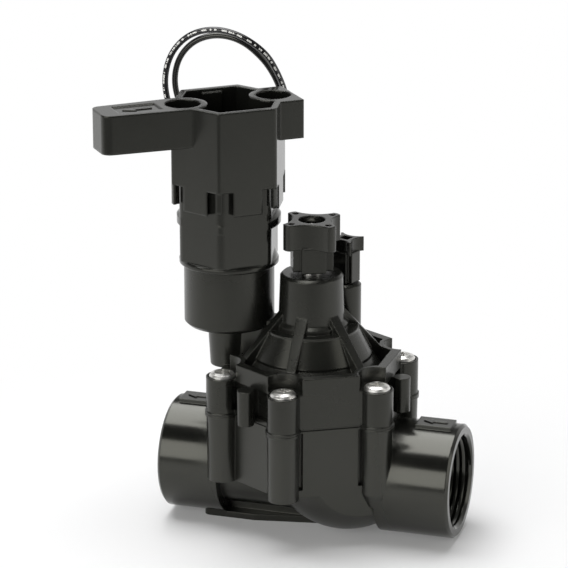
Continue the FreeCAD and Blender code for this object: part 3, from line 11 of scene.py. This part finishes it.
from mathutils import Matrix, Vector

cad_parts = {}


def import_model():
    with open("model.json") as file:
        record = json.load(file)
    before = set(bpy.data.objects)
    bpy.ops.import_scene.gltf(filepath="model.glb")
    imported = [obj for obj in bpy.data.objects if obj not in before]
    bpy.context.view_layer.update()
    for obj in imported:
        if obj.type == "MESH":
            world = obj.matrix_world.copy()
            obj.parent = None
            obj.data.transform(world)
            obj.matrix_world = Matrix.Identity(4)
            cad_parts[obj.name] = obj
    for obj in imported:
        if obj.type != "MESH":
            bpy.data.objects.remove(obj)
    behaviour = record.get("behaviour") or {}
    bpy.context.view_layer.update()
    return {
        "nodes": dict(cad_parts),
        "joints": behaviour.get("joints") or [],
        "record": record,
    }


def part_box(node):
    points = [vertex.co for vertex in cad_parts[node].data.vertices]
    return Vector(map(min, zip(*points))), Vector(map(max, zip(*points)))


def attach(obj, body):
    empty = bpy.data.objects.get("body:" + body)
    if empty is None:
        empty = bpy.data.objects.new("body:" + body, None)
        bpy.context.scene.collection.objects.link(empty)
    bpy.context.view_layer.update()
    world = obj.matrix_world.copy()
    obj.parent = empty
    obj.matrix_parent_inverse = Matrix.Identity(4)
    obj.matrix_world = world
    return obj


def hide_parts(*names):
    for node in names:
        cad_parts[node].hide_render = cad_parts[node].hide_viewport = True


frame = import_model()

MM = 0.001

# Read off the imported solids
BODY_LOW, BODY_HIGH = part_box("valve_body")
SLEEVE_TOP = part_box("handle_sleeve")[1][2]
COIL_LOW, COIL_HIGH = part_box("lead_coil_a")
UPPER_COIL_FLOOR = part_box("lead_coil_b")[0][2]
INLET = next(m for m in frame["record"]["mounts"] if m["name"] == "inlet_port")
SOLENOID = next(j for j in frame["joints"] if j["name"] == "solenoid_turn")
PIPE_Z = INLET["pos_m"][2]
THREAD_RADIUS = INLET["dims"]["r_mm"] * MM
SOLENOID_X = SOLENOID["pos_m"][0]

# Routes of the leads, from the grommet to the coil, in millimetres
LEAD_A = [
    (-34.56, 24.96, 126.1),
    (-35.9, 32.8, 126.1),
    (-34.6, 40.2, 129.0),
    (-30.8, 45.0, 134.4),
    (-25.8, 46.0, 141.2),
    (-22.9, 43.2, 148.2),
    (-22.7, 38.8, 155.6),
    (-24.8, 35.4, 163.6),
    (-28.4, 33.2, 170.6),
    (-37.2, 32.0, 176.6),
    (-47.4, 31.4, 178.8),
    (-57.4, 31.0, 176.2),
    (-64.8, 31.0, 168.8),
    (-67.9, 31.2, 158.4),
    (-66.6, 31.8, 147.8),
    (-61.8, 33.8, 138.0),
    (-56.0, 36.8, 128.2),
    (-50.4, 40.2, 116.6),
    (-46.0, 43.4, 102.0),
    (-42.8, 46.6, 82.4),
    (-41.4, 49.2, 62.0),
    (-42.0, 51.4, 44.0),
    (-44.4, 53.8, 29.6),
    (-48.2, 57.2, 17.4),
    (-52.2, 62.2, 8.2),
    (-54.4, 69.4, 2.8),
]
LEAD_B = [
    (-37.53, 24.49, 126.1),
    (-38.9, 32.3, 126.1),
    (-38.2, 40.0, 128.8),
    (-35.0, 45.8, 133.6),
    (-30.2, 48.6, 139.8),
    (-25.9, 47.4, 146.6),
    (-25.4, 43.4, 153.4),
    (-27.1, 39.6, 160.8),
    (-30.6, 36.8, 167.4),
    (-37.8, 35.0, 173.9),
    (-46.8, 34.2, 176.0),
    (-55.8, 33.8, 173.6),
    (-62.4, 33.8, 167.0),
    (-65.0, 34.0, 158.0),
    (-63.6, 34.8, 148.6),
    (-59.2, 37.0, 139.6),
    (-53.4, 40.6, 130.0),
    (-47.4, 45.0, 118.0),
    (-42.6, 48.6, 101.6),
    (-39.6, 51.4, 82.0),
    (-38.4, 53.8, 62.2),
    (-39.2, 55.8, 45.2),
    (-42.0, 58.0, 31.4),
    (-46.4, 61.0, 19.8),
    (-50.8, 65.4, 10.8),
    (-54.1, 71.8, 5.6),
]
LEAD_DIAMETER = 2.3 * MM
COILED_A = 152 * MM  # how much of each lead lies in the coil
COILED_B = 162 * MM
RING_STEP = 1.03  # from one ring of the coil to the next, in diameters
STRIPPED = 8 * MM
CONDUCTOR_RADIUS = 0.55 * MM
TURN_POINTS = 15

MARK_HEIGHT = 0.35 * MM
SUNK = 0.05 * MM  # how far a mark or a thread's root lies inside its part
TAG_TOP = PIPE_Z + 22.15 * MM
TAG_MIDDLE = 9.95 * MM  # from the port's end to the middle of its tag
LEVER_TURN = math.radians(219.5)
PANEL_MIDDLE = 35.15 * MM  # from the solenoid's axis
PANEL_DEPTH = 0.5 * MM

CAMERA_PLACE = (0.29085, -0.96033, 0.41773)
CAMERA_TARGET = (-0.01592, 0.01678, 0.08616)
CAMERA_LENS = 181.97


# ---------------------------------------------------------------- materials

WARM = (1.0, 1.0, 0.9, 1)  # the tone of what the plastics mirror


def new_material(name):
    """A material with its output, and a Principled shader wired to it."""
    material = bpy.data.materials.new(name)
    material.use_nodes = True
    nodes = material.node_tree.nodes
    return material, nodes, material.node_tree.links, nodes["Principled BSDF"]


def apart(nodes, links, coordinates):
    """The separate X, Y and Z of a kind of coordinates."""
    place = nodes.new("ShaderNodeTexCoord")
    separate = nodes.new("ShaderNodeSeparateXYZ")
    links.new(place.outputs[coordinates], separate.inputs["Vector"])
    return separate.outputs


def ramp(nodes, links, source, start, end, low, high, shape="LINEAR"):
    """A value that goes from low to high while the source goes from start to end."""
    ranged = nodes.new("ShaderNodeMapRange")
    ranged.interpolation_type = shape
    ranged.inputs["From Min"].default_value = start
    ranged.inputs["From Max"].default_value = end
    ranged.inputs["To Min"].default_value = low
    ranged.inputs["To Max"].default_value = high
    links.new(source, ranged.inputs["Value"])
    return ranged.outputs["Result"]


def calculated(nodes, links, operation, first, second):
    """Two values put together, such as their product or the larger of them."""
    node = nodes.new("ShaderNodeMath")
    node.operation = operation
    links.new(first, node.inputs[0])
    links.new(second, node.inputs[1])
    return node.outputs["Value"]


def noise(nodes, links, scale, detail=3.0):
    """Noise in object space, so it has its real size."""
    place = nodes.new("ShaderNodeTexCoord")
    texture = nodes.new("ShaderNodeTexNoise")
    texture.inputs["Scale"].default_value = scale
    texture.inputs["Detail"].default_value = detail
    links.new(place.outputs["Object"], texture.inputs["Vector"])
    return texture


def spread(nodes, links, source, low, high):
    """Maps the middle of a noise to the range from low to high."""
    return ramp(nodes, links, source, 0.3, 0.7, low, high)


def tinted(nodes, links, source, dark, light):
    """A colour that drifts between two near tones."""
    mix = nodes.new("ShaderNodeMix")
    mix.data_type = "RGBA"
    mix.inputs["A"].default_value = (*dark, 1)
    mix.inputs["B"].default_value = (*light, 1)
    links.new(spread(nodes, links, source, 0.0, 1.0), mix.inputs["Factor"])
    return mix.outputs["Result"]


def grained(nodes, links, shader, scale, depth, edge):
    """A fine moulded or rolled grain, over edges that catch the light as if rounded."""
    texture = noise(nodes, links, scale, 2.0)
    bevel = nodes.new("ShaderNodeBevel")
    bevel.samples = 6
    bevel.inputs["Radius"].default_value = edge
    bump = nodes.new("ShaderNodeBump")
    bump.inputs["Strength"].default_value = 0.35
    bump.inputs["Distance"].default_value = depth
    links.new(texture.outputs["Fac"], bump.inputs["Height"])
    links.new(bevel.outputs["Normal"], bump.inputs["Normal"])
    links.new(bump.outputs["Normal"], shader.inputs["Normal"])


def plastic(name, dark, light, rough, grain=1400, depth=0.00003, edge=0.0006):
    """Moulded plastic between two tones, with a soft sheen and a fine grain."""
    material, nodes, links, shader = new_material(name)
    drift = noise(nodes, links, 45, 4.0)
    links.new(tinted(nodes, links, drift.outputs["Fac"], dark, light), shader.inputs["Base Color"])
    links.new(spread(nodes, links, drift.outputs["Fac"], *rough), shader.inputs["Roughness"])
    shader.inputs["Specular Tint"].default_value = WARM
    grained(nodes, links, shader, grain, depth, edge)
    return material


def body_plastic():
    """The body's plastic, glossier on the two round ports than between them."""
    material, nodes, links, shader = new_material("body_plastic")
    drift = noise(nodes, links, 45, 4.0)
    dark, light = (0.006, 0.0062, 0.0054), (0.0095, 0.0098, 0.0084)
    links.new(tinted(nodes, links, drift.outputs["Fac"], dark, light), shader.inputs["Base Color"])
    away = nodes.new("ShaderNodeMath")
    away.operation = "ABSOLUTE"
    links.new(apart(nodes, links, "Object")["X"], away.inputs[0])
    ported = ramp(nodes, links, away.outputs["Value"], 30 * MM, 40 * MM, 0.0, 1.0)
    rough = nodes.new("ShaderNodeMix")
    rough.data_type = "FLOAT"
    links.new(ported, rough.inputs["Factor"])
    links.new(spread(nodes, links, drift.outputs["Fac"], 0.27, 0.36), rough.inputs["A"])
    links.new(spread(nodes, links, drift.outputs["Fac"], 0.13, 0.19), rough.inputs["B"])
    links.new(rough.outputs["Result"], shader.inputs["Roughness"])
    shader.inputs["IOR"].default_value = 1.56
    shader.inputs["Specular Tint"].default_value = WARM
    grained(nodes, links, shader, 1100, 0.00002, 0.0005)
    return material


def metal(name, dark, light, rough, edge=0.0002):
    """Bare metal with fine scratches."""
    material, nodes, links, shader = new_material(name)
    shader.inputs["Metallic"].default_value = 1.0
    drift = noise(nodes, links, 380, 5.0)
    links.new(tinted(nodes, links, drift.outputs["Fac"], dark, light), shader.inputs["Base Color"])
    links.new(spread(nodes, links, drift.outputs["Fac"], *rough), shader.inputs["Roughness"])
    grained(nodes, links, shader, 2600, 0.00002, edge)
    return material


def printed_wire():
    """Glossy black insulation with a broken pale stripe along it."""
    material, nodes, links, shader = new_material("printed_insulation")
    shader.inputs["Roughness"].default_value = 0.12
    along = apart(nodes, links, "UV")
    dashes = nodes.new("ShaderNodeTexNoise")
    dashes.noise_dimensions = "1D"
    dashes.inputs["Scale"].default_value = 260
    dashes.inputs["Detail"].default_value = 1.0
    links.new(along["X"], dashes.inputs["W"])
    broken = nodes.new("ShaderNodeMath")
    broken.operation = "GREATER_THAN"
    broken.inputs[1].default_value = 0.5
    links.new(dashes.outputs["Fac"], broken.inputs[0])
    side = nodes.new("ShaderNodeMath")
    side.operation = "COMPARE"
    side.inputs[1].default_value = 0.4  # where round the wire the stripe lies
    side.inputs[2].default_value = 0.045  # half its width
    links.new(along["Y"], side.inputs[0])
    stripe = calculated(nodes, links, "MULTIPLY", broken.outputs["Value"], side.outputs["Value"])
    mix = nodes.new("ShaderNodeMix")
    mix.data_type = "RGBA"
    mix.inputs["A"].default_value = (0.012, 0.012, 0.013, 1)
    mix.inputs["B"].default_value = (0.75, 0.75, 0.72, 1)
    links.new(stripe, mix.inputs["Factor"])
    links.new(mix.outputs["Result"], shader.inputs["Base Color"])
    return material


BODY = body_plastic()
BONNET = plastic("bonnet_plastic", (0.006, 0.0062, 0.0053), (0.0105, 0.0108, 0.0092), (0.22, 0.32))
SOLENOID_BLACK = plastic(
    "solenoid_plastic", (0.0065, 0.0067, 0.0059), (0.0105, 0.0108, 0.0094), (0.12, 0.18), edge=0.001
)
KNOBS = plastic("knob_plastic", (0.0065, 0.0067, 0.006), (0.0105, 0.0108, 0.0094), (0.2, 0.28), edge=0.0008)
POTTING = plastic("potting", (0.006, 0.006, 0.006), (0.012, 0.012, 0.012), (0.4, 0.6))
RUBBER = plastic("rubber", (0.012, 0.012, 0.012), (0.022, 0.022, 0.021), (0.55, 0.7))
NATURAL = plastic("inner_plastic", (0.5, 0.5, 0.46), (0.6, 0.6, 0.56), (0.4, 0.55))
STEEL = metal("stainless", (0.72, 0.71, 0.68), (0.9, 0.89, 0.86), (0.26, 0.42))
COPPER = metal("copper", (0.5, 0.22, 0.11), (0.7, 0.34, 0.18), (0.25, 0.4))
INSULATION = plastic("insulation", (0.01, 0.01, 0.011), (0.016, 0.016, 0.017), (0.09, 0.14), edge=0.0001)
PRINTED = printed_wire()

FINISHES = {
    "body_plastic": BONNET,
    "solenoid_plastic": SOLENOID_BLACK,
    "knob_plastic": KNOBS,
    "inner_plastic": NATURAL,
    "stainless": STEEL,
    "rubber": RUBBER,
    "copper": COPPER,
    "insulation": INSULATION,
    "potting": POTTING,
}


def dress_cad():
    """Each CAD node gets the finish of its slot, and the body its own."""
    for entry in frame["record"]["subparts"]:
        node = frame["nodes"][entry["node"]]
        finish = BODY if entry["node"] == "valve_body" else FINISHES[entry["material_slot"]]
        node.data.materials.clear()
        node.data.materials.append(finish)


# ---------------------------------------------------------------- pieces


def piece(name, vertices, faces, material, body, smooth=False):
    """A mesh piece that rides on a CAD body."""
    mesh = bpy.data.meshes.new(name)
    mesh.from_pydata(vertices, [], faces)
    mesh.materials.append(material)
    for face in mesh.polygons:
        face.use_smooth = smooth
    item = bpy.data.objects.new(name, mesh)
    bpy.context.collection.objects.link(item)
    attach(item, body)
    return item


def thread(name, mouth, inward):
    """The turns of a pipe thread: a triangular ridge wound along the port's wall."""
    pitch = 2.2 * MM
    turns = 7
    depth = 0.8 * MM
    steps = 64
    run_out = 20  # steps over which the ridge rises and sinks
    first_turn = 1.4 * MM  # from the mouth
    wall = THREAD_RADIUS + SUNK
    vertices = []
    faces = []
    for step in range(turns * steps + 1):
        angle = 2 * math.pi * step / steps
        along = mouth + inward * (first_turn + pitch * step / steps)
        fade = min(1.0, step / run_out, (turns * steps - step) / run_out)
        crest = wall - depth * fade
        for offset, radius in ((-0.48, wall), (-0.07, crest), (0.07, crest), (0.48, wall)):
            vertices.append(
                (
                    along + inward * offset * pitch,
                    radius * math.cos(angle),
                    PIPE_Z + radius * math.sin(angle),
                )
            )
    for step in range(turns * steps):
        for side in range(3):
            first = step * 4 + side
            faces.append((first, first + 1, first + 5, first + 4))
    return piece(name, vertices, faces, BODY, "valve", smooth=True)


def prism(name, outline, low, high, material, body):
    """An upright solid over a flat outline."""
    count = len(outline)
    vertices = [(x, y, z) for z in (low, high) for x, y in outline]
    faces = [tuple(reversed(range(count))), tuple(range(count, 2 * count))]
    for first in range(count):
        second = (first + 1) % count
        faces.append((first, second, second + count, first + count))
    return piece(name, vertices, faces, material, body)


def arrow(name, centre, turn, length, low, material, body):
    """A raised arrow with a plain shaft, lying flat."""
    head = length * 0.42
    half = length * 0.22
    shaft = length * 0.075
    start, neck, tip = -length / 2, length / 2 - head, length / 2
    outline = [
        (start, -shaft),
        (neck, -shaft),
        (neck, -half),
        (tip, 0.0),
        (neck, half),
        (neck, shaft),
        (start, shaft),
    ]
    placed = [
        (
            centre[0] + x * math.cos(turn) - y * math.sin(turn),
            centre[1] + x * math.sin(turn) + y * math.cos(turn),
        )
        for x, y in outline
    ]
    return prism(name, placed, low - SUNK, low + MARK_HEIGHT, material, body)


def marks():
    """Arrows on the lever's panel and on both port tags: turn here, and the way of the flow."""
    tags = {"inlet_arrow": BODY_HIGH[0] - TAG_MIDDLE, "outlet_arrow": BODY_LOW[0] + TAG_MIDDLE}
    for name, x in tags.items():
        arrow(name, (x, 0.0), math.pi, 9 * MM, TAG_TOP, BODY, "valve")
    panel = (
        SOLENOID_X + PANEL_MIDDLE * math.cos(LEVER_TURN),
        PANEL_MIDDLE * math.sin(LEVER_TURN),
    )
    low = SLEEVE_TOP - PANEL_DEPTH
    arrow("lever_arrow", panel, LEVER_TURN, 11 * MM, low, SOLENOID_BLACK, "solenoid")


def coil_centre():
    """The middle of the coiled leads, seen from above."""
    return ((COIL_LOW[0] + COIL_HIGH[0]) / 2, (COIL_LOW[1] + COIL_HIGH[1]) / 2)


def tie():
    """A flat tie round both turns of the coiled leads."""
    thick = 0.3 * MM
    half_width = 1.5 * MM
    corner = 1.2 * MM
    middle = (COIL_HIGH[0] - COIL_LOW[0]) / 2 - LEAD_DIAMETER * RING_STEP
    half_across = LEAD_DIAMETER * 1.04 + 0.05 * MM  # just past both rings
    low, high = COIL_LOW[2] + 0.33 * MM, UPPER_COIL_FLOOR + 2.58 * MM  # under one lead, over the other
    rise, level = (high - low) / 2, (high + low) / 2
    centre = coil_centre()
    turn = math.radians(60)
    out = Vector((math.cos(turn), math.sin(turn), 0))
    side = Vector((-math.sin(turn), math.cos(turn), 0))
    origin = Vector((centre[0], centre[1], level)) + out * middle
    loop = []
    for quarter, (across, up) in enumerate(((1, 1), (-1, 1), (-1, -1), (1, -1))):
        for step in range(6):
            angle = math.pi / 2 * (quarter + step / 5)
            normal = out * math.cos(angle) + Vector((0, 0, 1)) * math.sin(angle)
            knee = out * (across * (half_across - corner)) + Vector((0, 0, up * (rise - corner)))
            loop.append((origin + knee, normal))
    vertices = []
    for knee, normal in loop:
        outside = corner + thick
        for distance, sideways in ((corner, -1), (corner, 1), (outside, 1), (outside, -1)):
            vertices.append(tuple(knee + normal * distance + side * (sideways * half_width)))
    faces = []
    for first in range(len(loop)):
        here, there = first * 4, (first + 1) % len(loop) * 4
        for edge in range(4):
            following = (edge + 1) % 4
            faces.append((here + edge, there + edge, there + following, here + following))
    return piece("coil_tie", vertices, faces, RUBBER, "solenoid")


def coil_turns(centre, level, start_radius, rings, total):
    """Points of the flat coil, clockwise from its left side, stepping in from ring to ring."""
    points = []
    drift = 0.6 * MM  # from point to point, at most
    angle = math.pi
    step = 2 * math.pi / TURN_POINTS
    travelled = 0.0
    turned = 0.0
    radius = start_radius
    while travelled < total:
        wanted = rings[min(int(turned / (2 * math.pi)), len(rings) - 1)]
        radius += max(-drift, min(drift, wanted - radius))
        x = centre[0] + radius * math.cos(angle)
        y = centre[1] + radius * math.sin(angle)
        points.append((x, y, level))
        angle -= step
        turned += step
        travelled += radius * step
    return points


def wire(name, points, radius, resolution, material):
    """A round wire along a smooth curve, capped at both ends."""
    curve = bpy.data.curves.new(name, "CURVE")
    curve.dimensions = "3D"
    curve.bevel_depth = radius
    curve.bevel_resolution = resolution
    curve.use_fill_caps = True
    spline = curve.splines.new("NURBS")
    spline.points.add(len(points) - 1)
    for control, point in zip(spline.points, points):
        control.co = (*point, 1)
    spline.order_u = 3
    spline.use_endpoint_u = True
    curve.materials.append(material)
    item = bpy.data.objects.new(name, curve)
    bpy.context.collection.objects.link(item)
    return item


def lead(name, route, turns, material, nodes):
    """One lead as a smooth curve with its stripped end."""
    points = [tuple(c * MM for c in p) for p in route] + turns
    item = wire(name, points, LEAD_DIAMETER / 2, 6, material)
    item.data.resolution_u = 8
    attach(item, "solenoid")
    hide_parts(*nodes)
    copper = stripped_end(f"{name}_stripped_end", points[-2], points[-1])
    return item


def stripped_end(name, before, end):
    """The bare twisted conductor past the end of the insulation, bent round with the coil."""
    along = (Vector(end) - Vector(before)).normalized()
    inside = Vector((along.y, -along.x, 0))
    bend = 0.3  # how far the tip swings inwards, as a share of its length
    points = []
    for share in (0.0, 0.35, 0.7, 1.0):
        points.append(Vector(end) + along * (share * STRIPPED) + inside * (share**2 * STRIPPED * bend))
    item = wire(name, points, CONDUCTOR_RADIUS, 4, COPPER)
    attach(item, "solenoid")
    return item


def make_leads():
    """Both leads, each with its own level in the coil."""
    centre = coil_centre()
    outer = (COIL_HIGH[0] - COIL_LOW[0]) / 2
    rings = [outer - LEAD_DIAMETER / 2, outer - LEAD_DIAMETER * (0.5 + RING_STEP)]
    beside = outer + LEAD_DIAMETER / 2
    lower = COIL_LOW[2] + 1.5 * MM  # heights of the two middles
    upper = UPPER_COIL_FLOOR + 1.4 * MM
    lead(
        "lead_a",
        LEAD_A,
        coil_turns(centre, lower, beside, rings, COILED_A),
        PRINTED,
        ["lead_wire_a", "lead_coil_a"],
    )
    lead(
        "lead_b",
        LEAD_B,
        coil_turns(centre, upper, beside, rings, COILED_B),
        INSULATION,
        ["lead_wire_b", "lead_coil_b"],
    )


# ---------------------------------------------------------------- studio


def aimed(item, target):
    """Turns an object so that its -Z looks at a point."""
    item.rotation_euler = (Vector(target) - item.location).to_track_quat("-Z", "Y").to_euler()


def camera():
    """A long lens a little above the valve, to the inlet's side of its middle."""
    data = bpy.data.cameras.new("camera")
    data.sensor_width = 36
    data.lens = CAMERA_LENS
    data.clip_start = 0.05
    data.clip_end = 20
    item = bpy.data.objects.new("camera", data)
    item.location = CAMERA_PLACE
    bpy.context.collection.objects.link(item)
    aimed(item, CAMERA_TARGET)
    bpy.context.scene.camera = item


def softbox(name, place, target, size, power, colour=(1, 1, 1)):
    """A rectangular lamp with an even face."""
    data = bpy.data.lights.new(name, "AREA")
    data.shape = "RECTANGLE"
    data.size, data.size_y = size
    data.energy = power
    data.color = colour
    item = bpy.data.objects.new(name, data)
    item.location = place
    bpy.context.collection.objects.link(item)
    aimed(item, target)


def lights():
    """A box overhead, one in front at the left with a dark gap between them, and one at the right."""
    middle = (-0.01, 0, 0.08)
    softbox("overhead", (-0.22, 0.1, 1.1), middle, (1.0, 1.0), 16.0)
    softbox("front", (-0.4, -1.0, 0.4), middle, (1.0, 0.66), 6.2, (1.0, 0.995, 0.97))
    softbox("right", (1.25, -0.1, 0.45), middle, (0.7, 1.0), 2.5, (1.0, 0.99, 0.94))


def world():
    """White behind the object and in its reflections, dimmer on the viewer's side and above."""
    surround = bpy.data.worlds.new("studio")
    surround.use_nodes = True
    nodes = surround.node_tree.nodes
    links = surround.node_tree.links
    nodes.clear()
    output = nodes.new("ShaderNodeOutputWorld")
    direction = apart(nodes, links, "Generated")
    behind = ramp(nodes, links, direction["Y"], -0.4, 0.25, 0.1, 1.0)
    above = ramp(nodes, links, direction["Z"], 0.35, 0.55, 1.0, 0.2)
    studio = nodes.new("ShaderNodeBackground")
    links.new(calculated(nodes, links, "MULTIPLY", behind, above), studio.inputs["Strength"])
    white = nodes.new("ShaderNodeBackground")
    seen = nodes.new("ShaderNodeLightPath")
    mix = nodes.new("ShaderNodeMixShader")
    links.new(seen.outputs["Is Camera Ray"], mix.inputs["Fac"])
    links.new(studio.outputs["Background"], mix.inputs[1])
    links.new(white.outputs["Background"], mix.inputs[2])
    links.new(mix.outputs["Shader"], output.inputs["Surface"])
    bpy.context.scene.world = surround


def floor():
    """A wide white floor that keeps a soft shadow near the object and fades to plain white.

    Reflections find its glow dimmed far in front of the object: a painted shade for where the lamps light
    it less.
    """
    half = 3.0
    low = -0.05 * MM
    mesh = bpy.data.meshes.new("floor")
    corners = [(-half, -half, low), (half, -half, low), (half, half, low), (-half, half, low)]
    mesh.from_pydata(corners, [], [(0, 1, 2, 3)])
    material, nodes, links, shader = new_material("floor_paper")
    shader.inputs["Base Color"].default_value = (0.8, 0.8, 0.805, 1)
    shader.inputs["Roughness"].default_value = 0.7
    place = nodes.new("ShaderNodeTexCoord")
    away = nodes.new("ShaderNodeVectorMath")
    away.operation = "LENGTH"
    links.new(place.outputs["Object"], away.inputs[0])
    plain = ramp(nodes, links, away.outputs["Value"], 0.06, 0.2, 0.12, 1.0, "SMOOTHSTEP")
    # painted shade: in reflections the floor's glow is dimmed towards the front of the object
    painted_front_shade = ramp(nodes, links, apart(nodes, links, "Object")["Y"], -0.5, -0.15, 0.35, 1.0)
    seen = nodes.new("ShaderNodeLightPath")
    glow = nodes.new("ShaderNodeEmission")
    camera_ray, glossy_ray = seen.outputs["Is Camera Ray"], seen.outputs["Is Glossy Ray"]
    level = calculated(nodes, links, "MAXIMUM", camera_ray, painted_front_shade)
    links.new(level, glow.inputs["Strength"])
    sharp = calculated(nodes, links, "MAXIMUM", camera_ray, glossy_ray)
    share = calculated(nodes, links, "MULTIPLY", sharp, plain)
    mix = nodes.new("ShaderNodeMixShader")
    links.new(share, mix.inputs["Fac"])
    links.new(shader.outputs["BSDF"], mix.inputs[1])
    links.new(glow.outputs["Emission"], mix.inputs[2])
    links.new(mix.outputs["Shader"], nodes["Material Output"].inputs["Surface"])
    mesh.materials.append(material)
    item = bpy.data.objects.new("floor", mesh)
    bpy.context.collection.objects.link(item)


bpy.context.scene.view_settings.view_transform = "Standard"
camera()
make_leads()
dress_cad()
thread("inlet_thread", BODY_HIGH[0], -1)
thread("outlet_thread", BODY_LOW[0], 1)
marks()
tie()
lights()
world()
floor()
